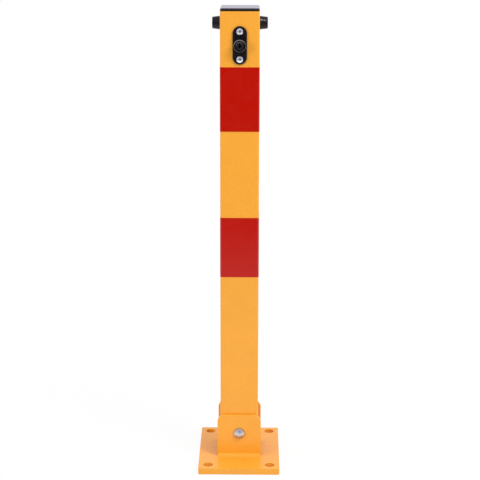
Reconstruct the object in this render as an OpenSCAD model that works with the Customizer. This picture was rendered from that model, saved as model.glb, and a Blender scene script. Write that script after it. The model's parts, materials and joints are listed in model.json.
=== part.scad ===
// Fold-down parking post: a square steel post on a hinged base, locked upright by a rod inside it.
// Origin: centre of the base plate's underside. +Z up, the lock faces -Y, the post folds about Y.

/* [Base plate] */
// Width of the base plate, left to right
base_w = 150; // [130:1:200]
// Depth of the base plate, front to back
base_d = 200; // [150:1:260]
// Thickness of the base plate
base_t = 12; // [10:1:14]
// Radius of the base plate's corners
base_corner_r = 3; // [1:0.5:10]
// Distance between anchor holes, left to right
anchor_dx = 114; // [100:1:120]
// Distance between anchor holes, front to back
anchor_dy = 164; // [120:1:180]
// Diameter of an anchor hole
anchor_hole_d = 18; // [12:0.5:20]

/* [Hinge bracket] */
// Width of a bracket plate
bracket_w = 81; // [72:1:90]
// Thickness of a bracket plate
bracket_t = 5; // [4:0.5:6]
// Height of the bracket's top above the ground
bracket_top_z = 93.5; // [86:0.5:100]
// Radius of a bracket plate's top corners
bracket_corner_r = 13; // [8:1:20]
// Gap between the post and a bracket plate
hinge_gap = 1; // [0.8:0.1:1.5]
// Height of the pivot above the ground
pivot_z = 57.5; // [56:0.5:62]
// Diameter of the pivot bolt's shank
pivot_d = 10; // [8:1:12]
// Leg of the weld bead along a bracket plate's foot
weld_leg = 6; // [3:0.5:7]

/* [Post] */
// Width of the square tube
post_w = 70; // [66:1:72]
// Wall thickness of the tube
post_wall = 3; // [2:0.5:4]
// Outer corner radius of the tube
post_corner_r = 4; // [3.5:0.5:6]
// Height of the tube's top above the ground
post_top_z = 840.5; // [838:0.5:900]
// Distance from the pivot down to the tube's lower end
post_below_pivot = 22; // [16:1:24]

/* [Reflective bands] */
// Lower edge of the upper band
upper_band_z = 628.5; // [600:0.5:640]
// Height of the upper band
upper_band_h = 114.5; // [80:0.5:116]
// Lower edge of the lower band
lower_band_z = 360; // [300:1:400]
// Height of the lower band
lower_band_h = 111; // [80:1:115]
// Thickness of the film
band_t = 0.35; // [0.2:0.05:0.6]

/* [Cap and bumpers] */
// Height of the cap's rim above the tube
cap_rim_h = 5.1; // [3:0.1:6]
// Depth of the cap's plug inside the tube
cap_plug_depth = 18; // [12:1:18]
// Height of the bumpers' centre above the ground
bumper_z = 817.5; // [812:0.5:818.5]
// Length of a bumper
bumper_len = 14.2; // [12:0.1:16]
// Diameter of a bumper at the post
bumper_root_d = 24; // [20:0.5:28]
// Diameter of a bumper at its free end
bumper_tip_d = 20.5; // [16:0.5:26]

/* [Lock] */
// Height of the lock barrel's axis above the ground
lock_z = 781.5; // [778:0.5:784]
// Width of the escutcheon
escutcheon_w = 25.5; // [24:0.5:30]
// Height of the escutcheon
escutcheon_h = 67; // [66:0.5:72]
// Thickness of the escutcheon
escutcheon_t = 3.5; // [2.5:0.5:5]
// Distance between the escutcheon's screws
escutcheon_screw_dz = 48.5; // [46:0.5:50]
// Diameter of the lock barrel
barrel_d = 22; // [20:0.5:23]
// How far the barrel stands out of the escutcheon
barrel_reach = 9; // [6:0.5:12]
// Diameter of the turning core
core_d = 15; // [12:0.5:15]
// Distance the locking rod travels
rod_travel = 24; // [20:1:26]
// Diameter of the locking rod
rod_d = 12; // [10:1:12]

/* [Hidden] */

$fn = 64;
// Amount by which a cutting shape runs past the face that it cuts
past = 1;
// Radial clearance of a turning or sliding fit
run_fit = 0.06;
// Radial clearance of a screw in a drilled or tapped hole
screw_fit = 0.05;

post_half = post_w / 2;
post_inner_w = post_w - 2 * post_wall;
post_inner_half = post_inner_w / 2;
post_inner_r = 1.5;
post_bottom_z = pivot_z - post_below_pivot;
bracket_inner_y = post_half + hinge_gap;
bracket_outer_y = bracket_inner_y + bracket_t;

// Pivot hardware
bolt_head_d = 20.5;
bolt_head_h = 7;
sleeve_d = 20;
spacer_d = 32;
spacer_t = hinge_gap - 0.1;
pivot_washer_d = 22;
pivot_washer_t = 2;
pivot_nut_af = 17;
pivot_nut_h = 8;
nut_collar_h = 3;
bolt_end_out = 2;

// Locking rod and the hole in the base plate that its tip drops into
rod_x = 17;
rod_tip_z = 28;
rod_tip_chamfer = 2;
rod_hole_d = rod_d + 1.5;
guide_t = 4;
guide_upper_z = 722;
guide_lower_z = 112;

// Crank: its pin swings from 45 degrees above the lock's axis to 45 degrees below it
crank_r = rod_travel / (2 * sin(45));
crank_pin_d = 6;
crank_pin_x = crank_r * cos(45);
crank_pin_z = lock_z + crank_r * sin(45);
crank_t = 4;
crank_arm_w = 12;
crank_hub_d = 18;

// Lock parts, front to back along Y
escutcheon_face_y = -post_half - escutcheon_t;
barrel_front_y = escutcheon_face_y - barrel_reach;
barrel_rear_y = -18;
core_front_y = barrel_front_y + 0.8;
crank_front_y = barrel_rear_y + 0.2;
crank_rear_y = crank_front_y + crank_t;
lock_nut_t = 5;
lock_nut_af = 27;
key_slot_w = 2.4;
key_slot_h = 8.5;
key_hole_d = 5;
key_depth = 14;

// Yoke: a plate on the rod's flattened top end, with a level slot that the crank pin runs in
yoke_t = 5;
yoke_front_y = -7;
yoke_rear_y = yoke_front_y + yoke_t;
yoke_slot_clear = 0.8;
yoke_slot_h = crank_pin_d + 2 * yoke_slot_clear;
yoke_x0 = 3;
yoke_x1 = 26;
yoke_above = 12;
yoke_below = 24;
yoke_screw_d = 4;
yoke_screw_z = [crank_pin_z - 11, crank_pin_z - 19];
rod_top_z = crank_pin_z - 7;

// Screws in the head
bumper_screw_d = 6;
bumper_screw_head_d = 10.5;
bumper_recess_d = 12;
bumper_recess_depth = 6;
bumper_edge_r = 1.5;
escutcheon_screw_d = 5;
escutcheon_screw_head_d = 11.5;

// Flat outline of a rectangle with round corners, centred
module rounded_rectangle(w, d, r) {
    square([w - 2 * r, d], center = true);
    square([w, d - 2 * r], center = true);
    for (x = [-1, 1], y = [-1, 1])
        translate([x * (w / 2 - r), y * (d / 2 - r)])
            circle(r = r);
}

// Flat outline of a square with round corners, centred
module rounded_square(w, r) {
    rounded_rectangle(w, w, r);
}

// Square tube with round corners, standing on z = 0
module square_tube(outer_w, outer_r, inner_w, inner_r, h) {
    difference() {
        linear_extrude(h)
            rounded_square(outer_w, outer_r);
        translate([0, 0, -past])
            linear_extrude(h + 2 * past)
                rounded_square(inner_w, inner_r);
    }
}

// Round bar along Y, from y0 to y1
module bar_y(d, y0, y1) {
    translate([0, y0, 0])
        rotate([-90, 0, 0])
            cylinder(d = d, h = y1 - y0);
}

// Dome of the given diameter and height, standing on z = 0
module dome(d, h) {
    ball_r = (d * d / 4 + h * h) / (2 * h);
    rotate_extrude()
        intersection() {
            translate([0, h - ball_r])
                circle(r = ball_r, $fn = 128);
            square([d / 2, h]);
        }
}

// Low round screw head with a domed top, standing on z = 0
module pan_head(d, h) {
    cylinder(d = d, h = h * 0.45);
    translate([0, 0, h * 0.45])
        dome(d, h * 0.55);
}

module base_plate() {
    color("orange")
        difference() {
            linear_extrude(base_t)
                rounded_rectangle(base_w, base_d, base_corner_r);
            for (x = [-1, 1], y = [-1, 1])
                translate([x * anchor_dx / 2, y * anchor_dy / 2, -past])
                    cylinder(d = anchor_hole_d, h = base_t + 2 * past);
            translate([rod_x, 0, -past])
                cylinder(d = rod_hole_d, h = base_t + 2 * past);
        }
}

// One upright plate of the hinge bracket, with its inner face at inner_y and facing the post
module bracket_plate() {
    side_h = bracket_top_z - base_t - bracket_corner_r;
    top_w = bracket_w - 2 * bracket_corner_r;
    color("orange")
        translate([0, bracket_outer_y, 0])
            rotate([90, 0, 0])
                difference() {
                    linear_extrude(bracket_t)
                        translate([0, base_t]) {
                            translate([-bracket_w / 2, 0])
                                square([bracket_w, side_h]);
                            translate([-top_w / 2, 0])
                                square([top_w, side_h + bracket_corner_r]);
                            for (x = [-1, 1])
                                translate([x * top_w / 2, side_h])
                                    circle(r = bracket_corner_r);
                        }
                    translate([0, pivot_z, -past])
                        cylinder(d = pivot_d + 2 * screw_fit, h = bracket_t + 2 * past);
                }
}

module bracket_front() {
    mirror([0, 1, 0])
        bracket_plate();
}

module bracket_rear() {
    bracket_plate();
}

// Rounded bead in the corner between each bracket plate's outer foot and the base plate
module foot_welds() {
    bead_l = bracket_w + 1;
    color("orange")
        for (side = [0, 1])
            mirror([0, side, 0])
                translate([-bead_l / 2, bracket_outer_y, base_t])
                    rotate([90, 0, 90])
                        linear_extrude(bead_l)
                            intersection() {
                                circle(r = weld_leg);
                                square(weld_leg + past);
                            }
}

module pivot_bolt() {
    bolt_rear_y = bracket_outer_y + pivot_washer_t + pivot_nut_h + nut_collar_h + bolt_end_out;
    color("silver")
        translate([0, 0, pivot_z]) {
            bar_y(pivot_d, -bracket_outer_y, bolt_rear_y);
            translate([0, -bracket_outer_y, 0])
                rotate([90, 0, 0])
                    dome(bolt_head_d, bolt_head_h);
        }
}

// Thin plastic discs that hold the post off the two bracket plates
module pivot_spacers() {
    color("white")
        for (side = [0, 1])
            mirror([0, side, 0])
                translate([0, 0, pivot_z])
                    difference() {
                        bar_y(spacer_d, bracket_inner_y - spacer_t, bracket_inner_y);
                        bar_y(pivot_d + 2 * screw_fit, 0, bracket_inner_y + past);
                    }
}

module pivot_washer() {
    color("silver")
        translate([0, 0, pivot_z])
            difference() {
                bar_y(pivot_washer_d, bracket_outer_y, bracket_outer_y + pivot_washer_t);
                bar_y(pivot_d + 0.5, 0, 2 * bracket_outer_y);
            }
}

// Hexagon nut with a round collar on its outer side
module pivot_nut() {
    nut_y = bracket_outer_y + pivot_washer_t;
    color("silver")
        translate([0, 0, pivot_z])
            difference() {
                union() {
                    translate([0, nut_y, 0])
                        rotate([-90, 0, 0])
                            cylinder(d = pivot_nut_af / cos(30), h = pivot_nut_h, $fn = 6);
                    bar_y(pivot_nut_af - 3, nut_y + pivot_nut_h, nut_y + pivot_nut_h + nut_collar_h);
                }
                bar_y(pivot_d + 2 * screw_fit, 0, 2 * bracket_outer_y);
            }
}

module post_tube() {
    color("orange")
        difference() {
            translate([0, 0, post_bottom_z])
                square_tube(post_w, post_corner_r, post_inner_w, post_inner_r, post_top_z - post_bottom_z);
            translate([0, 0, pivot_z])
                bar_y(sleeve_d, -post_w, post_w);
            translate([0, 0, lock_z]) {
                bar_y(barrel_d + 0.2, -post_w, 0);
                for (z = [-1, 1])
                    translate([0, 0, z * escutcheon_screw_dz / 2])
                        bar_y(escutcheon_screw_d + 2 * screw_fit, -post_w, 0);
            }
            translate([-post_w, 0, bumper_z])
                rotate([0, 90, 0])
                    cylinder(d = bumper_screw_d + 2 * screw_fit, h = 2 * post_w);
        }
}

// Steel sleeve through the tube, which turns on the pivot bolt
module pivot_sleeve() {
    color("silver")
        translate([0, 0, pivot_z])
            difference() {
                bar_y(sleeve_d, -post_half, post_half);
                bar_y(pivot_d + 2 * run_fit, -post_w, post_w);
            }
}

module red_band(z, h) {
    color("red")
        translate([0, 0, z])
            square_tube(post_w + 2 * band_t, post_corner_r + band_t, post_w, post_corner_r, h);
}

module upper_red_band() {
    red_band(upper_band_z, upper_band_h);
}

module lower_red_band() {
    red_band(lower_band_z, lower_band_h);
}

// Cap with a round-edged rim on the tube and a hollow plug with gripping fins inside it
module top_cap() {
    edge_r = min(3.2, cap_rim_h - 0.8);
    slice_t = 0.05;
    plug_wall = 3;
    fin_t = 1.5;
    fin_pitch = cap_plug_depth / 3;
    plug_w = post_inner_w - 3;
    color("dimgray") {
        translate([0, 0, post_top_z]) {
            hull() {
                linear_extrude(cap_rim_h - edge_r)
                    rounded_square(post_w, post_corner_r, $fn = 32);
                for (a = [15 : 15 : 90]) {
                    inset = edge_r * (1 - cos(a));
                    translate([0, 0, cap_rim_h - edge_r * (1 - sin(a)) - slice_t])
                        linear_extrude(slice_t)
                            rounded_square(post_w - 2 * inset, post_corner_r - inset / 2, $fn = 32);
                }
            }
        }
        translate([0, 0, post_top_z - cap_plug_depth])
            square_tube(plug_w, 3, plug_w - 2 * plug_wall, 2, cap_plug_depth);
        for (i = [1 : 3])
            translate([0, 0, post_top_z - i * fin_pitch])
                square_tube(post_inner_w, post_inner_r, plug_w - plug_wall, 2, fin_t);
    }
}

// Rubber buffer along +X with its root on the post, a round free edge and a screw recess
module bumper() {
    root_r = bumper_root_d / 2;
    tip_r = bumper_tip_d / 2;
    lean = atan((root_r - tip_r) / bumper_len);
    edge_x = tip_r - bumper_edge_r * (1 + sin(lean)) / cos(lean) * cos(lean);
    color("#26222a")
        translate([post_half, 0, bumper_z])
            rotate([0, 90, 0])
                difference() {
                    rotate_extrude() {
                        polygon([
                            [0, 0],
                            [root_r, 0],
                            [edge_x + bumper_edge_r * cos(lean), bumper_len - bumper_edge_r * (1 - sin(lean))],
                            [edge_x, bumper_len],
                            [0, bumper_len]
                        ]);
                        translate([edge_x, bumper_len - bumper_edge_r])
                            circle(r = bumper_edge_r);
                    }
                    translate([0, 0, bumper_len - bumper_recess_depth])
                        cylinder(d = bumper_recess_d, h = bumper_recess_depth + past);
                    translate([0, 0, -past])
                        cylinder(d = bumper_screw_d + 2 * screw_fit, h = bumper_len);
                }
}

module bumper_left() {
    mirror([1, 0, 0])
        bumper();
}

module bumper_right() {
    bumper();
}

module bumper_screws() {
    head_h = 3.3;
    seat_x = post_half + bumper_len - bumper_recess_depth;
    screw_l = seat_x - post_inner_half + 4;
    color("silver")
        for (side = [0, 1])
            mirror([side, 0, 0])
                translate([seat_x, 0, bumper_z])
                    rotate([0, 90, 0]) {
                        pan_head(bumper_screw_head_d, head_h);
                        translate([0, 0, -screw_l])
                            cylinder(d = bumper_screw_d, h = screw_l);
                    }
}

// Straight-sided plate with round ends and a bevelled front edge
module lock_escutcheon() {
    bevel = 1.2;
    flat_t = escutcheon_t - bevel;
    end_r = escutcheon_w / 2;
    end_z = escutcheon_h / 2 - end_r;
    color("#1e1b22")
        translate([0, -post_half, lock_z])
            rotate([90, 0, 0])
                difference() {
                    union() {
                        for (z = [-1, 1])
                            translate([0, z * end_z, 0]) {
                                cylinder(r = end_r, h = flat_t);
                                translate([0, 0, flat_t])
                                    cylinder(r1 = end_r, r2 = end_r - bevel, h = bevel);
                            }
                        translate([0, end_z, 0])
                            rotate([90, 0, 0])
                                linear_extrude(2 * end_z)
                                    polygon([
                                        [-end_r, 0],
                                        [end_r, 0],
                                        [end_r, flat_t],
                                        [end_r - bevel, escutcheon_t],
                                        [-end_r + bevel, escutcheon_t],
                                        [-end_r, flat_t]
                                    ]);
                    }
                    translate([0, 0, -past])
                        cylinder(d = barrel_d + 0.2, h = escutcheon_t + 2 * past);
                    for (z = [-1, 1])
                        translate([0, z * escutcheon_screw_dz / 2, -past])
                            cylinder(d = escutcheon_screw_d + 0.4, h = escutcheon_t + 2 * past);
                }
}

module escutcheon_screw(z) {
    head_h = 3;
    screw_l = 12;
    color("silver")
        translate([0, escutcheon_face_y, z])
            rotate([90, 0, 0]) {
                pan_head(escutcheon_screw_head_d, head_h);
                translate([0, 0, -screw_l])
                    cylinder(d = escutcheon_screw_d, h = screw_l);
            }
}

module escutcheon_screw_upper() {
    escutcheon_screw(lock_z + escutcheon_screw_dz / 2);
}

module escutcheon_screw_lower() {
    escutcheon_screw(lock_z - escutcheon_screw_dz / 2);
}

// Round housing with a bevelled front ring and a deep groove between the ring and the core
module lock_barrel() {
    barrel_r = barrel_d / 2;
    barrel_l = barrel_rear_y - barrel_front_y;
    bore_r = core_d / 2 + run_fit;
    front_bevel = 0.9;
    groove_r = 9.4;
    groove_depth = 4.5;
    color("#2b282e")
        translate([0, barrel_rear_y, lock_z])
            rotate([90, 0, 0])
                rotate_extrude()
                    polygon([
                        [bore_r, 0],
                        [barrel_r, 0],
                        [barrel_r, barrel_l - front_bevel],
                        [barrel_r - front_bevel, barrel_l],
                        [groove_r, barrel_l],
                        [groove_r - 0.3, barrel_l - groove_depth],
                        [bore_r, barrel_l - groove_depth]
                    ]);
}

// Thin hexagon nut that clamps the barrel to the inside of the tube's wall
module lock_nut() {
    color("silver")
        translate([0, 0, lock_z])
            difference() {
                translate([0, -post_inner_half, 0])
                    rotate([-90, 0, 0])
                        cylinder(d = lock_nut_af / cos(30), h = lock_nut_t, $fn = 6);
                bar_y(barrel_d + 2 * screw_fit, -post_w, post_w);
            }
}

// Turning core, with a bevelled face and a hole for a double-bitted key
module lock_core() {
    core_r = core_d / 2;
    core_l = crank_front_y - core_front_y;
    face_bevel = 0.8;
    color("#4a464c")
        translate([0, crank_front_y, lock_z])
            rotate([90, 0, 0])
                difference() {
                    rotate_extrude()
                        polygon([
                            [0, 0],
                            [core_r, 0],
                            [core_r, core_l - face_bevel],
                            [core_r - face_bevel, core_l],
                            [0, core_l]
                        ]);
                    translate([0, 0, core_l - key_depth]) {
                        cylinder(d = key_hole_d, h = key_depth + past);
                        translate([-key_slot_w / 2, -key_slot_h / 2, 0])
                            cube([key_slot_w, key_slot_h, key_depth + past]);
                    }
                    translate([0, 0, -past])
                        cylinder(d = 4 + 2 * screw_fit, h = 10 + past);
                }
}

// Crank arm on the core's rear end, at rest 45 degrees above level
module lock_crank() {
    color("silver")
        translate([0, crank_rear_y, lock_z])
            rotate([90, -45, 0])
                difference() {
                    union() {
                        cylinder(d = crank_hub_d, h = crank_t);
                        translate([0, -crank_arm_w / 2, 0])
                            cube([crank_r, crank_arm_w, crank_t]);
                        translate([crank_r, 0, 0])
                            cylinder(d = crank_arm_w, h = crank_t);
                    }
                    translate([0, 0, -past])
                        cylinder(d = 4 + 2 * screw_fit, h = crank_t + 2 * past);
                    translate([crank_r, 0, -past])
                        cylinder(d = crank_pin_d, h = crank_t + 2 * past);
                }
}

module crank_pin() {
    color("silver")
        translate([crank_pin_x, 0, crank_pin_z])
            bar_y(crank_pin_d, crank_front_y, yoke_rear_y - 0.5);
}

module crank_screw() {
    color("silver")
        translate([0, crank_rear_y, lock_z])
            rotate([-90, 0, 0]) {
                pan_head(9, 2.6);
                translate([0, 0, -crank_t - 9])
                    cylinder(d = 4, h = crank_t + 9);
            }
}

// Rod that drops into the base plate; its top end has a flat for the yoke
module locking_rod() {
    color("silver")
        translate([rod_x, 0, 0])
            difference() {
                union() {
                    translate([0, 0, rod_tip_z])
                        cylinder(d1 = rod_d - 2 * rod_tip_chamfer, d2 = rod_d, h = rod_tip_chamfer);
                    translate([0, 0, rod_tip_z + rod_tip_chamfer])
                        cylinder(d = rod_d, h = rod_top_z - rod_tip_z - rod_tip_chamfer);
                }
                translate([-rod_d, yoke_rear_y - rod_d, crank_pin_z - yoke_below])
                    cube([2 * rod_d, rod_d, yoke_above + yoke_below + past]);
                for (z = yoke_screw_z)
                    translate([0, 0, z])
                        bar_y(yoke_screw_d + 2 * screw_fit, -rod_d, rod_d);
            }
}

module rod_yoke() {
    slot_x0 = crank_pin_x - crank_pin_d / 2 - 1.2;
    slot_x1 = crank_r + crank_pin_d / 2 + 1.2;
    color("silver")
        difference() {
            translate([yoke_x0, yoke_front_y, crank_pin_z - yoke_below])
                cube([yoke_x1 - yoke_x0, yoke_t, yoke_above + yoke_below]);
            translate([slot_x0, yoke_front_y - past, crank_pin_z - yoke_slot_h / 2])
                cube([slot_x1 - slot_x0, yoke_t + 2 * past, yoke_slot_h]);
            for (z = yoke_screw_z)
                translate([rod_x, 0, z])
                    bar_y(yoke_screw_d + 2 * screw_fit, -rod_d, rod_d);
        }
}

module yoke_screws() {
    color("silver")
        for (z = yoke_screw_z)
            translate([rod_x, yoke_front_y, z])
                rotate([90, 0, 0]) {
                    pan_head(7, 2.4);
                    translate([0, 0, -9])
                        cylinder(d = yoke_screw_d, h = 9);
                }
}

// Plate welded across the inside of the tube, with a hole that guides the rod
module rod_guide(z) {
    color("gray")
        translate([0, 0, z])
            difference() {
                linear_extrude(guide_t)
                    rounded_square(post_inner_w, post_inner_r);
                translate([rod_x, 0, -past])
                    cylinder(d = rod_d + 2 * run_fit, h = guide_t + 2 * past);
            }
}

module rod_guide_upper() {
    rod_guide(guide_upper_z);
}

module rod_guide_lower() {
    rod_guide(guide_lower_z);
}

base_plate();
bracket_front();
bracket_rear();
foot_welds();
pivot_bolt();
pivot_spacers();
pivot_washer();
pivot_nut();
post_tube();
pivot_sleeve();
upper_red_band();
lower_red_band();
top_cap();
bumper_left();
bumper_right();
bumper_screws();
lock_escutcheon();
escutcheon_screw_upper();
escutcheon_screw_lower();
lock_barrel();
lock_nut();
lock_core();
lock_crank();
crank_pin();
crank_screw();
locking_rod();
rod_yoke();
yoke_screws();
rod_guide_upper();
rod_guide_lower();
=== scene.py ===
import json
import math

import bmesh
import bpy
from mathutils import Matrix, Vector


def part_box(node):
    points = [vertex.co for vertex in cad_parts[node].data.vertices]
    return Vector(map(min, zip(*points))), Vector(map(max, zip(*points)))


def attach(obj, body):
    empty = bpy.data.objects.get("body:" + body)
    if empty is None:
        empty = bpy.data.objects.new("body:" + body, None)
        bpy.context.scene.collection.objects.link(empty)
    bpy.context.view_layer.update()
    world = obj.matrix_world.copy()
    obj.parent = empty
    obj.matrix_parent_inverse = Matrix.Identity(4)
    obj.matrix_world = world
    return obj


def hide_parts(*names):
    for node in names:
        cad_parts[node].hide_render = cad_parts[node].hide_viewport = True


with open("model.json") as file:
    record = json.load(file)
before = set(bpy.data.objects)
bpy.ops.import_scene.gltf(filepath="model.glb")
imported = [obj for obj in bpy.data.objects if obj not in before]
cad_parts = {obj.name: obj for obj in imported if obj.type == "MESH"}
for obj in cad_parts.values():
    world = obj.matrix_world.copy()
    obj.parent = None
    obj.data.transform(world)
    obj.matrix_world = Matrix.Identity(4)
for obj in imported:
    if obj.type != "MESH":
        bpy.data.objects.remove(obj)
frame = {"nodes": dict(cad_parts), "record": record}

MM = 0.001
FRONT = (0, -1, 0)
REAR = (0, 1, 0)
WHITE = (1, 1, 1, 1)
NODES = frame["nodes"]
SLOT_OF_NODE = {part["node"]: part["material_slot"] for part in frame["record"]["subparts"]}
BODY_OF_NODE = {
    node: body
    for body, nodes in frame["record"]["behaviour"]["bodies"].items()
    for node in nodes
}
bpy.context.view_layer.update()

# Camera, from a fit to the photograph: place in metres, angles in radians, focal length in pixels
CAMERA_PLACE = (0.0274, -2.4963, 1.0673)
CAMERA_YAW = -0.01075
CAMERA_PITCH = 0.25336
CAMERA_ROLL = 0.00166
CAMERA_FOCAL_PX = 1403.8
PHOTO_PX = 480
SENSOR_MM = 36.0

# World: strength of the soft fill, and of the dark patch that mirrors show where the camera stands
FILL = 0.92
MIRROR_FRONT = 0.03
# Direction away from that patch, the cosines between which the patch fades into white,
# the heights of a direction between which mirrors turn white overhead, and the tint of mirrors
MIRROR_BACK = (-0.13, 0.981, -0.148)
PATCH_EDGE = (-0.978, -0.84)
OVERHEAD_EDGE = (0.68, 0.95)
MIRROR_TINT = (0.93, 0.93, 1.04, 1)

# Floor: half its width in metres, the strength of its own white near the post, the distances in metres
# over which that grows to full white, and the share of light that it returns
FLOOR_HALF = 12.0
FLOOR_GLOW = 0.92
FLOOR_GLOW_EDGE = (0.15, 1.3)
FLOOR_BOUNCE = 0.55
# Strength of the floor's mirror image, and where along Y in metres it is full and where it has gone
MIRROR_FLOOR = 1.75
MIRROR_FLOOR_START = -0.75
MIRROR_FLOOR_END = -2.1


def box_mm(node):
    """Corners of a CAD node's box, in millimetres."""
    low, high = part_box(node)
    return low / MM, high / MM


def centre_of(node):
    """Middle of a CAD node, in millimetres."""
    low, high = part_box(node)
    return (low + high) / 2 / MM


# Shader helpers

def feed(tree, socket, value):
    """Links another node's output to a socket, or sets a constant on it."""
    if isinstance(value, bpy.types.NodeSocket):
        tree.links.new(value, socket)
    else:
        socket.default_value = value


def shader_node(tree, kind, feeds=None, **settings):
    """A new shader node with its settings made and its inputs fed, by name or by number."""
    node = tree.nodes.new(kind)
    for name, setting in settings.items():
        setattr(node, name, setting)
    for key, value in (feeds or {}).items():
        feed(tree, node.inputs[key], value)
    return node


def maths(tree, operation, first, second):
    """Output of a Math node, whose two inputs may be numbers or outputs."""
    return shader_node(tree, "ShaderNodeMath", {0: first, 1: second}, operation=operation).outputs["Value"]


def vector_maths(tree, operation, first, second=None):
    """Output of a Vector Math node, which is a number for a length or a dot product."""
    feeds = {0: first}
    if second is not None:
        feeds[1] = second
    node = shader_node(tree, "ShaderNodeVectorMath", feeds, operation=operation)
    return node.outputs["Value" if operation in ("LENGTH", "DOT_PRODUCT") else "Vector"]


def map_range(tree, value, start, end, low=0.0, high=1.0, interpolation="SMOOTHSTEP"):
    """Maps a value between start and end onto the range from low to high."""
    feeds = {"Value": value, "From Min": start, "From Max": end, "To Min": low, "To Max": high}
    node = shader_node(tree, "ShaderNodeMapRange", feeds, interpolation_type=interpolation)
    return node.outputs["Result"]


def blend_values(tree, factor, low, high):
    """Low where the factor is 0, and high where it is 1."""
    low_share = maths(tree, "MULTIPLY", maths(tree, "SUBTRACT", 1.0, factor), low)
    return maths(tree, "ADD", low_share, maths(tree, "MULTIPLY", factor, high))


def blend_shaders(tree, factor, first, second):
    """The first shader where the factor is 0, and the second where it is 1."""
    return shader_node(tree, "ShaderNodeMixShader", {"Fac": factor, 1: first, 2: second}).outputs["Shader"]


def glow(tree, strength):
    return shader_node(tree, "ShaderNodeEmission", {"Strength": strength}).outputs["Emission"]


class Surface:
    """A Principled material with short calls for its procedural detail."""

    def __init__(self, name, colour, roughness, metallic=0.0, specular=0.5):
        self.material = bpy.data.materials.new(name)
        self.material.use_nodes = True
        self.tree = self.material.node_tree
        self.shader = self.tree.nodes["Principled BSDF"]
        self.colour = colour
        self.roughness = roughness
        self.set("Base Color", (*colour, 1.0))
        self.set("Roughness", roughness)
        self.set("Metallic", metallic)
        self.set("Specular IOR Level", specular)
        self.coords = shader_node(self.tree, "ShaderNodeTexCoord").outputs["Object"]
        self.bump_normal = None
        self.mixed_colour = None

    def set(self, socket, value):
        feed(self.tree, self.shader.inputs[socket], value)

    def noise(self, size_mm, detail, stretch=None):
        """Noise whose blobs are about size_mm across, stretched by a factor along X, Y and Z."""
        source = self.coords
        if stretch:
            scale = [1.0 / factor for factor in stretch]
            mapping = shader_node(self.tree, "ShaderNodeMapping", {"Scale": scale, "Vector": source})
            source = mapping.outputs["Vector"]
        feeds = {"Scale": 1.0 / (size_mm * MM), "Detail": detail, "Vector": source}
        return shader_node(self.tree, "ShaderNodeTexNoise", feeds).outputs["Fac"]

    def cells(self, size_mm):
        """Distance to the nearest cell edge of a Voronoi pattern with cells about size_mm across."""
        feeds = {"Scale": 1.0 / (size_mm * MM), "Vector": self.coords}
        node = shader_node(self.tree, "ShaderNodeTexVoronoi", feeds, feature="DISTANCE_TO_EDGE")
        return node.outputs["Distance"]

    def spread(self, value, low, high, from_low=0.3, from_high=0.7):
        """Maps a texture's value onto the range from low to high."""
        return map_range(self.tree, value, from_low, from_high, low, high, "LINEAR")

    def vary_colour(self, value, other, span=(0.3, 0.7)):
        """Mixes the colour so far with another one where the texture's value is high."""
        feeds = {
            "A": self.mixed_colour or (*self.colour, 1.0),
            "B": (*other, 1.0),
            "Factor": self.spread(value, 0.0, 1.0, *span),
        }
        mix = shader_node(self.tree, "ShaderNodeMix", feeds, data_type="RGBA")
        self.mixed_colour = mix.outputs["Result"]
        self.set("Base Color", self.mixed_colour)

    def painted_highlight_ring(self, node, radius_mm, depth_mm, colour):
        """Mixes in a painted highlight: a lighter colour outside a radius on a round node's front,
        brightest at its upper left, where the light falls.
        """
        low, high = box_mm(node)
        centre = Vector((0, low.y, (low.z + high.z) / 2)) * MM
        upper_left = (-0.2, 0, 0.98)
        least_shine = 0.05
        radius, depth = radius_mm * MM, depth_mm * MM
        offset = vector_maths(self.tree, "SUBTRACT", self.coords, centre)
        across = vector_maths(self.tree, "MULTIPLY", offset, (1, 0, 1))
        from_axis = vector_maths(self.tree, "LENGTH", across)
        behind = vector_maths(self.tree, "DOT_PRODUCT", offset, REAR)
        lit_side = vector_maths(self.tree, "DOT_PRODUCT", offset, upper_left)
        outside = self.spread(from_axis, 0, 1, radius, radius * 1.04)
        at_front = self.spread(behind, 1, 0, depth * 0.7, depth)
        shine = self.spread(lit_side, least_shine, 1, 0, radius * 0.95)
        ring = maths(self.tree, "MULTIPLY", maths(self.tree, "MULTIPLY", outside, at_front), shine)
        self.vary_colour(ring, colour, (0.0, 1.0))

    def vary_roughness(self, value, amount):
        self.set("Roughness", self.spread(value, self.roughness - amount, self.roughness + amount))

    def bump(self, value, height_mm):
        """Adds relief on top of any relief that is already there."""
        feeds = {"Distance": height_mm * MM, "Height": value}
        if self.bump_normal:
            feeds["Normal"] = self.bump_normal
        self.bump_normal = shader_node(self.tree, "ShaderNodeBump", feeds).outputs["Normal"]
        self.set("Normal", self.bump_normal)


def scaled(colour, factor):
    """A colour made lighter or darker by a factor."""
    return tuple(min(1.0, channel * factor) for channel in colour)


# Materials

def orange_coat():
    """Yellow-orange powder coat: semi-gloss, with the soft ripple of orange peel."""
    colour = (0.885, 0.375, 0.033)
    coat = Surface("orange_powder_coat", colour, 0.28, specular=0.37)
    coat.vary_colour(coat.noise(60, 3), scaled(colour, 0.95))
    coat.vary_roughness(coat.noise(9, 3), 0.05)
    coat.bump(coat.noise(2.4, 1), 0.03)
    coat.bump(coat.noise(0.5, 1), 0.006)
    return coat.material


def red_film():
    """Red retroreflective film: a smooth face over a fine grain of glass beads."""
    colour = (0.485, 0.0055, 0.0004)
    film = Surface("red_reflective_film", colour, 0.18, specular=0.28)
    film.vary_colour(film.noise(0.9, 2), scaled(colour, 0.9))
    film.vary_roughness(film.noise(14, 3), 0.05)
    film.bump(film.cells(0.8), 0.01)
    film.bump(film.noise(22, 2), 0.05)
    return film.material


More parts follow.
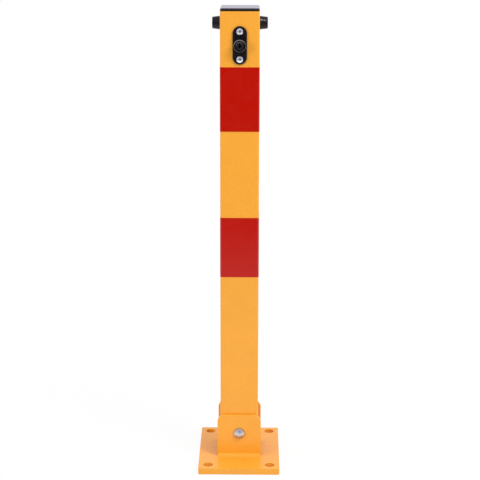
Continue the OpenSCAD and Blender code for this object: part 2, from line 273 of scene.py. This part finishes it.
def cap_plastic():
    """Black polyethylene with a polished top."""
    colour = (0.010, 0.007, 0.008)
    plastic = Surface("cap_black_plastic", colour, 0.13)
    plastic.vary_colour(plastic.noise(12, 3), scaled(colour, 1.35))
    plastic.vary_roughness(plastic.noise(5, 3), 0.03)
    plastic.bump(plastic.noise(0.9, 2), 0.003)
    return plastic.material


def black_plastic():
    """Satin black moulding with a fine grain."""
    colour = (0.0045, 0.0035, 0.005)
    plastic = Surface("escutcheon_black_plastic", colour, 0.36, specular=0.32)
    plastic.vary_colour(plastic.noise(6, 3), scaled(colour, 1.5))
    plastic.vary_roughness(plastic.noise(3, 3), 0.07)
    plastic.bump(plastic.noise(0.35, 2), 0.012)
    return plastic.material


def black_rubber():
    """Moulded black rubber, slightly purple, with a dry bloom."""
    colour = (0.012, 0.0085, 0.0125)
    rubber = Surface("bumper_black_rubber", colour, 0.3, specular=0.13)
    rubber.vary_colour(rubber.noise(5, 4), scaled(colour, 1.6))
    rubber.vary_roughness(rubber.noise(2.5, 3), 0.08)
    rubber.bump(rubber.noise(0.6, 3), 0.012)
    return rubber.material


def black_lock_metal():
    """Black-coated lock housing, with a painted highlight on its front ring, brightest at the upper left.
    """
    colour = (0.036, 0.034, 0.037)
    metal = Surface("lock_black_metal", colour, 0.24, metallic=0.8)
    metal.vary_colour(metal.noise(4, 3), scaled(colour, 1.7))
    # Painted highlight: the housing's front ring is lighter, most at its upper left, where light falls
    metal.painted_highlight_ring("lock_barrel", 9.2, 1.2, (0.25, 0.235, 0.215))
    metal.vary_roughness(metal.noise(1.5, 4), 0.08)
    metal.bump(metal.noise(0.4, 2), 0.006)
    return metal.material


def dark_core_metal():
    """Darkened turned metal of the lock's core, with fine rings across its face."""
    colour = (0.06, 0.053, 0.062)
    metal = Surface("core_dark_metal", colour, 0.4, metallic=0.85)
    metal.vary_colour(metal.noise(2, 4), scaled(colour, 0.6))
    # Painted highlight: the core's outer edge is lighter, most at its upper left, where light falls
    metal.painted_highlight_ring("lock_core", 5.7, 1.0, (0.2, 0.18, 0.2))
    metal.vary_roughness(metal.noise(0.8, 3), 0.1)
    metal.bump(metal.noise(0.3, 2, stretch=(6, 1, 6)), 0.01)
    return metal.material


def zinc_steel(name, colour, roughness):
    """Zinc plating: a pale metal with a faint cast and a fine spangle."""
    zinc = Surface(name, colour, roughness, metallic=1.0)
    zinc.vary_colour(zinc.noise(1.6, 4), scaled(colour, 0.84))
    zinc.vary_roughness(zinc.noise(1.1, 4), 0.08)
    zinc.bump(zinc.noise(0.45, 3), 0.008)
    return zinc.material


def plain_steel():
    """Bare drawn steel with grain along its length and a few dull patches."""
    colour = (0.44, 0.43, 0.42)
    steel = Surface("drawn_steel", colour, 0.4, metallic=1.0)
    steel.vary_colour(steel.noise(9, 5, stretch=(1, 1, 8)), scaled(colour, 0.7))
    steel.vary_roughness(steel.noise(1.2, 4, stretch=(1, 1, 30)), 0.1)
    steel.bump(steel.noise(0.3, 2, stretch=(1, 1, 60)), 0.01)
    return steel.material


def nylon():
    """Natural nylon, milky and waxy."""
    colour = (0.78, 0.76, 0.68)
    plastic = Surface("natural_nylon", colour, 0.45, specular=0.45)
    plastic.vary_colour(plastic.noise(4, 3), scaled(colour, 0.92))
    plastic.vary_roughness(plastic.noise(2, 3), 0.08)
    plastic.bump(plastic.noise(0.7, 2), 0.01)
    return plastic.material


MATERIALS = {
    "orange_coat": orange_coat(),
    "red_film": red_film(),
    "cap_plastic": cap_plastic(),
    "black_plastic": black_plastic(),
    "black_rubber": black_rubber(),
    "black_lock_metal": black_lock_metal(),
    "dark_core_metal": dark_core_metal(),
    "zinc_steel": zinc_steel("bright_zinc", (0.70, 0.71, 0.77), 0.38),
    "plain_steel": plain_steel(),
    "nylon": nylon(),
}
MATERIAL_OF_NODE = {node: MATERIALS[slot] for node, slot in SLOT_OF_NODE.items()}
# The hinge's parts take a darker, rougher copy of the zinc: painted shade that tones down how brightly they
# mirror the floor
SHADED_ZINC = zinc_steel("shaded_zinc", (0.56, 0.52, 0.55), 0.46)
for hinge_part in ("pivot_bolt", "pivot_washer", "pivot_nut"):
    MATERIAL_OF_NODE[hinge_part] = SHADED_ZINC


# Mesh helpers

def mesh_object(name, bm):
    """A scene object from a bmesh, with its normals pointing out."""
    bmesh.ops.recalc_face_normals(bm, faces=bm.faces)
    mesh = bpy.data.meshes.new(name)
    bm.to_mesh(mesh)
    bm.free()
    if "custom_normal" in mesh.attributes:
        mesh.attributes.remove(mesh.attributes["custom_normal"])
    piece = bpy.data.objects.new(name, mesh)
    bpy.context.scene.collection.objects.link(piece)
    return piece


def dress(piece, node, sharp_angle=40.0):
    """Gives a piece the material, body and place of the CAD node that it stands for."""
    piece.data.materials.clear()
    piece.data.materials.append(MATERIAL_OF_NODE[node])
    for polygon in piece.data.polygons:
        polygon.use_smooth = True
    piece.data.set_sharp_from_angle(angle=math.radians(sharp_angle))
    normals = piece.modifiers.new("even_normals", "WEIGHTED_NORMAL")
    normals.keep_sharp = True
    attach(piece, BODY_OF_NODE[node])
    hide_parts(node)


def softened(node, radius_mm, steps=3, flat_angle=0.4, corner_angle=25.0):
    """Stands for a CAD node with the same form, whose sharp edges are rounded."""
    bm = bmesh.new()
    bm.from_mesh(NODES[node].data)
    bmesh.ops.remove_doubles(bm, verts=bm.verts, dist=0.001 * MM)
    bmesh.ops.dissolve_limit(bm, angle_limit=math.radians(flat_angle), verts=bm.verts, edges=bm.edges)
    corner = math.radians(corner_angle)
    edges = [e for e in bm.edges if len(e.link_faces) == 2 and e.calc_face_angle() > corner]
    bmesh.ops.bevel(
        bm, geom=edges, offset=radius_mm * MM, segments=steps, profile=0.5,
        affect="EDGES", clamp_overlap=True,
    )
    dress(mesh_object(node + "_finish", bm), node)


def fillet(points, steps=5):
    """A flat outline of (x, y, radius) points, with an arc of that radius in place of each corner."""
    outline = []
    for i, (x, y, radius) in enumerate(points):
        if radius <= 0 or i in (0, len(points) - 1):
            outline.append((x, y))
            continue
        corner = Vector((x, y))
        before = (Vector(points[i - 1][:2]) - corner).normalized()
        after = (Vector(points[i + 1][:2]) - corner).normalized()
        half_angle = before.angle(after) / 2
        reach = radius / math.tan(half_angle)
        centre = corner + (before + after).normalized() * (radius / math.sin(half_angle))
        start = corner + before * reach - centre
        turn = start.angle_signed(corner + after * reach - centre)
        for step in range(steps + 1):
            spoke = Matrix.Rotation(-turn * step / steps, 2) @ start
            outline.append(tuple(centre + spoke))
    return outline


def walls(bm, loops):
    """Faces from each loop of vertices to the next, where a loop of one vertex is a point."""
    for low, high in zip(loops, loops[1:]):
        count = max(len(low), len(high))
        for k in range(count):
            n = (k + 1) % count
            if len(low) == 1:
                bm.faces.new((low[0], high[n], high[k]))
            elif len(high) == 1:
                bm.faces.new((low[k], low[n], high[0]))
            else:
                bm.faces.new((low[k], low[n], high[n], high[k]))


def loft(bm, loops):
    """Walls between loops of vertices, and a face over the first and the last."""
    walls(bm, loops)
    bm.faces.new(loops[0])
    bm.faces.new(loops[-1])


def lathe(profile_mm, segments=64, closed=False):
    """A bmesh turned about Z from (radius, height) points. An open profile starts and ends on the axis."""
    least_radius = 1e-6
    bm = bmesh.new()
    rings = []
    for radius, height in profile_mm:
        if radius < least_radius:
            rings.append([bm.verts.new((0, 0, height * MM))])
            continue
        rings.append([
            bm.verts.new((
                radius * MM * math.cos(math.tau * k / segments),
                radius * MM * math.sin(math.tau * k / segments),
                height * MM,
            ))
            for k in range(segments)
        ])
    walls(bm, rings + rings[:1] if closed else rings)
    return bm


def dome_profile(width, rise, base, steps=8):
    """Points of a dome of that width and rise, from its top on the axis down to its rim."""
    ball = (width * width / 4 + rise * rise) / (2 * rise)
    span = math.asin(width / 2 / ball)
    return [
        (ball * math.sin(span * k / steps), base + rise - ball + ball * math.cos(span * k / steps))
        for k in range(steps + 1)
    ]


def rounded_loop(bm, half_w, radius, height, arc_steps=8):
    """Closed loop of vertices round a square with round corners, in millimetres."""
    loop = []
    for corner in range(4):
        middle = math.pi / 4 + corner * math.pi / 2
        cx = math.copysign(half_w - radius, math.cos(middle))
        cy = math.copysign(half_w - radius, math.sin(middle))
        for step in range(arc_steps + 1):
            angle = corner * math.pi / 2 + math.pi / 2 * step / arc_steps
            x = cx + radius * math.cos(angle)
            y = cy + radius * math.sin(angle)
            loop.append(bm.verts.new((x * MM, y * MM, height * MM)))
    return loop


def placed(direction, place_mm, spin=0):
    """Matrix that turns a form by spin degrees about Z, points its Z axis along direction and moves it."""
    twist = Matrix.Rotation(math.radians(spin), 4, "Z")
    turn = Vector(direction).to_track_quat("Z", "Y").to_matrix().to_4x4()
    return Matrix.Translation(Vector(place_mm) * MM) @ turn @ twist


# Pieces of the base

def bead_reach(x, angle, length, leg, side):
    """How far a weld bead reaches from its root, at x along it and at an angle round it, in millimetres."""
    ripple_pitch, crescent_bend, ripple_share = 4.3, 0.35, 0.05
    end_start, end_length = 0.3, 3.0
    fullness, flat_share = 0.9, 0.55
    end_distance = min(x + length / 2, length / 2 - x)
    taper = math.sqrt(min(1.0, (end_distance + end_start) / end_length))
    phase = (x / ripple_pitch + crescent_bend * math.sin(2 * angle)) % 1.0
    # Slow waves along the bead keep its ripples and its width from looking machined
    ripple = ripple_share * (1 - phase) ** 2 + 0.02 * math.sin(x * 0.61 + 2.0 * angle)
    wander = 1 + 0.03 * math.sin(x * 0.23 + side) + 0.02 * math.sin(x * 0.71)
    mitre = 1 / (math.cos(angle) + math.sin(angle))
    return leg * taper * wander * (fullness * (flat_share * mitre + 1 - flat_share) + ripple)


def weld_beads():
    """Fillet welds along the feet of both bracket plates, with a crescent ripple every few millimetres."""
    low, high = box_mm("foot_welds")
    leg = high.z - low.z
    length = high.x - low.x
    across, along = 10, 220
    bm = bmesh.new()
    for side in (-1, 1):
        root_y = side * (high.y - leg)
        rows = []
        for i in range(along + 1):
            x = -length / 2 + length * i / along
            row = []
            for j in range(across + 1):
                angle = math.pi / 2 * j / across
                reach = bead_reach(x, angle, length, leg, side)
                y = root_y + side * reach * math.cos(angle)
                z = low.z + reach * math.sin(angle)
                row.append(bm.verts.new((x * MM, y * MM, z * MM)))
            row.append(bm.verts.new((x * MM, root_y * MM, low.z * MM)))
            rows.append(row)
        loft(bm, rows)
    dress(mesh_object("foot_welds_finish", bm), "foot_welds", sharp_angle=60)


def pivot_bolt():
    """Domed bolt from front to back, with the end of its thread past the nut."""
    low, high = box_mm("pivot_bolt")
    head_h = box_mm("bracket_front")[0].y - low.y
    head_r = (high.x - low.x) / 2
    rim = high.y - low.y - head_h
    rim_h, edge = 0.4, 0.1
    shank_r, thread_pitch, thread_depth, turns, end_chamfer = 5.0, 1.5, 0.75, 9, 0.9
    steps = 16
    arc = [math.pi / 2 * k / steps for k in range(steps + 1)]
    profile = [(head_r * math.sin(a), rim + rim_h + (head_h - rim_h) * math.cos(a)) for a in arc]
    profile += [(head_r - edge, rim + edge), (head_r - 3 * edge, rim), (shank_r, rim)]
    for turn in range(turns, 0, -1):
        crest = turn * thread_pitch
        profile += [(shank_r, crest), (shank_r - thread_depth, crest - thread_pitch / 2)]
    profile += [(shank_r - end_chamfer, 0), (0, 0)]
    bm = lathe(profile)
    bm.transform(placed(FRONT, (0, high.y, centre_of("pivot_bolt").z)))
    dress(mesh_object("pivot_bolt_finish", bm), "pivot_bolt", sharp_angle=35)


# Pieces of the head

def cap_rim(bm, half, tube_top, top):
    """The cap's rim on the tube's end, with a rounded top edge and a small bevel below."""
    corner, edge, steps = 4.0, 3.2, 8
    seat_gap, seat_inset, seat_corner, bevel, bevel_top = 0.02, 2.0, 2.5, 0.3, 0.35
    loops = [
        rounded_loop(bm, half - seat_inset, seat_corner, tube_top + seat_gap),
        rounded_loop(bm, half - bevel, corner - bevel, tube_top + seat_gap),
        rounded_loop(bm, half, corner, tube_top + bevel_top),
    ]
    for step in range(steps + 1):
        angle = math.pi / 2 * step / steps
        inset = edge * (1 - math.cos(angle))
        height = top - edge * (1 - math.sin(angle))
        loops.append(rounded_loop(bm, half - inset, corner - inset / 2, height))
    loft(bm, loops)


def cap_plug(bm, bottom, tube_top):
    """The cap's hollow plug inside the tube, with fins that grip the tube's walls."""
    half, wall, corner, inner_corner = 30.5, 3.0, 3.0, 2.0
    fin_half, fin_corner, fin_t, fins = 31.97, 1.5, 1.5, 3
    pitch = (tube_top - bottom) / fins
    rings = []
    for i in range(fins):
        fin_z = bottom + i * pitch
        rings += [(fin_half, fin_corner, fin_z), (fin_half, fin_corner, fin_z + fin_t)]
        rings += [(half, corner, fin_z + fin_t), (half, corner, fin_z + pitch)]
    rings += [(half - wall, inner_corner, z) for z in (tube_top, bottom)]
    loops = [rounded_loop(bm, *ring) for ring in rings]
    walls(bm, loops + loops[:1])


def top_cap():
    """Moulded cap: a rim with a rounded top edge, and a hollow plug with gripping fins."""
    low, high = box_mm("top_cap")
    tube_top = box_mm("post_tube")[1].z
    bm = bmesh.new()
    cap_rim(bm, high.x, tube_top, high.z)
    cap_plug(bm, low.z, tube_top)
    dress(mesh_object("top_cap_finish", bm), "top_cap", sharp_angle=50)


def bumper(node, side):
    """Turned rubber buffer with a round free edge and a screw recess."""
    low, high = box_mm(node)
    length = high.x - low.x
    root_r = (high.z - low.z) / 2
    root_bevel, taper, free_edge = 0.6, 1.75, 1.6
    recess_r, recess_depth, mouth, hole_r = 6.0, 6.0, 1.0, 3.05
    profile = fillet([
        (hole_r, 0, 0),
        (root_r - root_bevel, 0, 0),
        (root_r, root_bevel, 0.5),
        (root_r - taper, length, free_edge),
        (recess_r + mouth, length, 0.6),
        (recess_r, length - mouth, 0.5),
        (recess_r, length - recess_depth, 0.5),
        (hole_r, length - recess_depth, 0),
    ])
    bm = lathe(profile, segments=72, closed=True)
    root_x = low.x if side > 0 else high.x
    bm.transform(placed((side, 0, 0), (root_x, 0, centre_of(node).z)))
    dress(mesh_object(node + "_finish", bm), node, sharp_angle=50)


def cross_cutter(width, depth, top_z):
    """Cross recess whose arms narrow and shorten towards its floor."""
    bm = bmesh.new()
    loops = []
    floor, mouth = (0.16, 0.07, top_z - depth), (0.5, 0.11, top_z + 1.0)
    for arm_share, half_share, z in (floor, mouth):
        arm, half = width * arm_share, width * half_share
        loop = []
        for quarter in range(4):
            turn = Matrix.Rotation(quarter * math.pi / 2, 4, "Z")
            for x, y in ((arm, -half), (arm, half), (half, half)):
                loop.append(bm.verts.new(turn @ Vector((x * MM, y * MM, z * MM))))
        loops.append(loop)
    loft(bm, loops)
    return mesh_object("cutter", bm)


def carve(piece, cutter):
    """Cuts the cutter out of the piece, cleans the cut's mesh and removes the cutter."""
    cut = piece.modifiers.new("cut", "BOOLEAN")
    cut.operation = "DIFFERENCE"
    cut.solver = "EXACT"
    cut.use_self = True
    cut.object = cutter
    graph = bpy.context.evaluated_depsgraph_get()
    carved = bpy.data.meshes.new_from_object(piece.evaluated_get(graph))
    piece.modifiers.clear()
    piece.data = carved
    bm = bmesh.new()
    bm.from_mesh(carved)
    bmesh.ops.remove_doubles(bm, verts=bm.verts, dist=0.01 * MM)
    bmesh.ops.dissolve_degenerate(bm, dist=0.002 * MM, edges=bm.edges)
    bmesh.ops.connect_verts_concave(bm, faces=[face for face in bm.faces if len(face.verts) > 4])
    bmesh.ops.triangulate(bm, faces=[face for face in bm.faces if len(face.verts) > 4])
    bm.to_mesh(carved)
    bm.free()
    bpy.data.objects.remove(cutter)


def pan_screw(head_d, head_h, shank_d, shank_l):
    """Pan-head screw along Z with its head's seat at z = 0, a cross recess and a threaded shank."""
    side_h = head_h * 0.45
    shoulder, rise = 0.4, 0.1
    recess_w, recess_depth = head_d * 0.36, head_h * 0.7
    pitch, thread_depth, tip_chamfer = 1.0, 0.45, 0.8
    profile = dome_profile(head_d - 2 * shoulder, head_h - side_h - rise, side_h + rise)
    profile += fillet([
        (head_d / 2 - shoulder, side_h + rise, 0),
        (head_d / 2, side_h - 2 * rise, 0.5),
        (head_d / 2, 0, 0),
    ])[1:]
    shank_r, depth = shank_d / 2, 0.0
    while depth + pitch < shank_l - 1:
        profile += [(shank_r, -depth), (shank_r - thread_depth, -depth - pitch / 2)]
        depth += pitch
    profile += [(shank_r, -depth), (shank_r - tip_chamfer, -shank_l), (0, -shank_l)]
    screw = mesh_object("screw", lathe(profile, segments=48))
    carve(screw, cross_cutter(recess_w, recess_depth, head_h))
    return screw


def pan_screws(node, head_d, head_h, shank_d, shank_l, seats, spin=0):
    """One piece of pan-head screws. A seat is the middle of the head's underside and the way it faces."""
    bm = bmesh.new()
    for place, facing in seats:
        screw = pan_screw(head_d, head_h, shank_d, shank_l)
        screw.data.transform(placed(facing, place, spin))
        bm.from_mesh(screw.data)
        bpy.data.objects.remove(screw)
    dress(mesh_object(node + "_finish", bm), node, sharp_angle=35)


def single_screw(node, facing, head_h, shank_d, spin=0):
    """A screw on the post's middle plane that fills its CAD node's box."""
    low, high = box_mm(node)
    seat_y = low.y + head_h if facing == FRONT else high.y - head_h
    seat = (0, seat_y, (low.z + high.z) / 2)
    pan_screws(node, high.x - low.x, head_h, shank_d, high.y - low.y - head_h, [(seat, facing)], spin)


def bumper_screws():
    """The two screws in the bumpers' recesses, as one piece."""
    low, high = box_mm("bumper_screws")
    head_h, shank_d, shank_l = 3.3, 6.0, 15.2
    middle_z = (low.z + high.z) / 2
    seats = [((side * (high.x - head_h), 0, middle_z), (side, 0, 0)) for side in (-1, 1)]
    pan_screws("bumper_screws", high.z - low.z, head_h, shank_d, shank_l, seats)


def yoke_screws():
    """The two screws that hold the yoke to the locking rod, as one piece."""
    low, high = box_mm("yoke_screws")
    head_d, head_h, shank_d = high.x - low.x, 2.4, 4.0
    seats = [
        (((low.x + high.x) / 2, low.y + head_h, z), FRONT)
        for z in (low.z + head_d / 2, high.z - head_d / 2)
    ]
    pan_screws("yoke_screws", head_d, head_h, shank_d, high.y - low.y - head_h, seats)


def lock_barrel():
    """Lock housing with a deep groove round the core, inside its front ring."""
    node = "lock_barrel"
    low, high = box_mm(node)
    length = high.y - low.y
    outer_r = (high.x - low.x) / 2
    bore_r, groove_r, groove_draft = 7.56, 9.4, 0.3
    floor_z = length - 4.5
    rear_bevel, front_bevel = 0.5, 0.9
    profile = fillet([
        (bore_r, 0, 0),
        (outer_r - rear_bevel, 0, 0),
        (outer_r, rear_bevel, 0.3),
        (outer_r, length - front_bevel, 0.6),
        (outer_r - front_bevel, length, 0.3),
        (groove_r, length, 0.25),
        (groove_r - groove_draft, floor_z, 0.2),
        (bore_r, floor_z, 0),
    ])
    bm = lathe(profile, segments=96, closed=True)
    bm.transform(placed(FRONT, (0, high.y, centre_of(node).z)))
    dress(mesh_object(node + "_finish", bm), node, sharp_angle=50)


# Stage

def studio_world():
    """White to the camera and in mirrors, with a dark patch in front of the post, and a soft fill."""
    world = bpy.data.worlds.new("studio")
    bpy.context.scene.world = world
    world.use_nodes = True
    tree = world.node_tree
    path = shader_node(tree, "ShaderNodeLightPath")
    glossy = path.outputs["Is Glossy Ray"]
    direction = shader_node(tree, "ShaderNodeTexCoord").outputs["Generated"]
    height = shader_node(tree, "ShaderNodeSeparateXYZ", {"Vector": direction}).outputs["Z"]
    behind = map_range(tree, vector_maths(tree, "DOT_PRODUCT", direction, MIRROR_BACK), *PATCH_EDGE)
    above = map_range(tree, height, *OVERHEAD_EDGE)
    mirrored = blend_values(tree, maths(tree, "MAXIMUM", behind, above), MIRROR_FRONT, 1.0)
    seen = maths(tree, "MAXIMUM", path.outputs["Is Camera Ray"], path.outputs["Is Transmission Ray"])
    strength = blend_values(tree, seen, blend_values(tree, glossy, FILL, mirrored), 1.0)
    tints = {"A": WHITE, "B": MIRROR_TINT, "Factor": glossy}
    tint = shader_node(tree, "ShaderNodeMix", tints, data_type="RGBA")
    background = tree.nodes["Background"]
    feed(tree, background.inputs["Strength"], strength)
    feed(tree, background.inputs["Color"], tint.outputs["Result"])


def area_light(name, place, target, size, power, mirrored=False, spread=180):
    """Round lamp, which lights what is dull, or else only shows in what shines."""
    lamp = bpy.data.lights.new(name, "AREA")
    lamp.shape = "DISK"
    lamp.size = size
    lamp.energy = power
    lamp.spread = math.radians(spread)
    holder = bpy.data.objects.new(name, lamp)
    bpy.context.scene.collection.objects.link(holder)
    holder.location = place
    holder.rotation_euler = (Vector(target) - Vector(place)).to_track_quat("-Z", "Y").to_euler()
    holder.visible_camera = False
    holder.visible_diffuse = not mirrored
    holder.visible_glossy = mirrored


def floor_material():
    """Matt white, brighter away from the post to the camera, and a glow of its own in mirrors."""
    floor = Surface("pale_floor", (0.86, 0.86, 0.86), 0.9, specular=0.1)
    tree = floor.tree
    path = shader_node(tree, "ShaderNodeLightPath")
    distance = vector_maths(tree, "LENGTH", floor.coords)
    y = shader_node(tree, "ShaderNodeSeparateXYZ", {"Vector": floor.coords}).outputs["Y"]
    white_share = map_range(tree, distance, *FLOOR_GLOW_EDGE, FLOOR_GLOW, 1.0)
    seen = blend_shaders(tree, white_share, floor.shader.outputs["BSDF"], glow(tree, 1.0))
    image = glow(tree, map_range(tree, y, MIRROR_FLOOR_END, MIRROR_FLOOR_START, 0.0, MIRROR_FLOOR))
    grey = (FLOOR_BOUNCE, FLOOR_BOUNCE, FLOOR_BOUNCE, 1)
    bounce = shader_node(tree, "ShaderNodeBsdfDiffuse", {"Color": grey}).outputs["BSDF"]
    lit = blend_shaders(tree, path.outputs["Is Glossy Ray"], bounce, image)
    surface = blend_shaders(tree, path.outputs["Is Camera Ray"], lit, seen)
    feed(tree, tree.nodes["Material Output"].inputs["Surface"], surface)
    return floor.material


def pale_floor():
    """White floor with a soft shadow near the post, whose mirror image fades out towards the camera."""
    bm = bmesh.new()
    corners = ((-1, -1), (1, -1), (1, 1), (-1, 1))
    bm.faces.new([bm.verts.new((x * FLOOR_HALF, y * FLOOR_HALF, 0)) for x, y in corners])
    floor = mesh_object("floor", bm)
    floor.data.materials.append(floor_material())


def photo_camera():
    """Camera at the photograph's place and angle, with its field of view."""
    forward = Vector((
        math.sin(CAMERA_YAW) * math.cos(CAMERA_PITCH),
        math.cos(CAMERA_YAW) * math.cos(CAMERA_PITCH),
        -math.sin(CAMERA_PITCH),
    ))
    level_right = Vector((math.cos(CAMERA_YAW), -math.sin(CAMERA_YAW), 0))
    level_up = level_right.cross(forward)
    right = level_right * math.cos(CAMERA_ROLL) + level_up * math.sin(CAMERA_ROLL)
    up = level_up * math.cos(CAMERA_ROLL) - level_right * math.sin(CAMERA_ROLL)
    turn = Matrix((right, up, -forward)).transposed().to_4x4()
    data = bpy.data.cameras.new("photo_camera")
    data.sensor_width = SENSOR_MM
    data.lens = CAMERA_FOCAL_PX / PHOTO_PX * SENSOR_MM
    data.clip_end = 60
    camera = bpy.data.objects.new("photo_camera", data)
    bpy.context.scene.collection.objects.link(camera)
    camera.matrix_world = Matrix.Translation(CAMERA_PLACE) @ turn
    bpy.context.scene.camera = camera


photo_camera()
studio_world()
pale_floor()
area_light("key_left", (-2.7, -2.0, 1.5), (0, 0, 0.5), size=0.8, power=22)
area_light("high_right", (1.5, -1.3, 2.6), (0, 0, 0.3), size=1.2, power=38)
# A narrow beam for the streak along the right bumper, which leaves the lock's screws alone
area_light(
    "head_glint", (0.12, -0.28, 1.22), (0.046, -0.01, 0.8175),
    size=0.05, power=0.009, mirrored=True, spread=8,
)
bpy.context.scene.view_settings.view_transform = "Standard"

softened("base_plate", radius_mm=0.9)
softened("bracket_front", radius_mm=0.8)
softened("bracket_rear", radius_mm=0.8)
weld_beads()
pivot_bolt()
softened("pivot_washer", radius_mm=0.25)
softened("pivot_nut", radius_mm=0.4)
softened("post_tube", radius_mm=0.5)
top_cap()
bumper("bumper_left", side=-1)
bumper("bumper_right", side=1)
bumper_screws()
softened("lock_escutcheon", radius_mm=0.35)
single_screw("escutcheon_screw_upper", FRONT, head_h=3.0, shank_d=5.0, spin=12)
single_screw("escutcheon_screw_lower", FRONT, head_h=3.0, shank_d=5.0, spin=38)
single_screw("crank_screw", REAR, head_h=2.6, shank_d=4.0)
yoke_screws()
lock_barrel()
softened("lock_core", radius_mm=0.25)

for node, holder in NODES.items():
    if not holder.hide_render:
        holder.data.materials.clear()
        holder.data.materials.append(MATERIAL_OF_NODE[node])
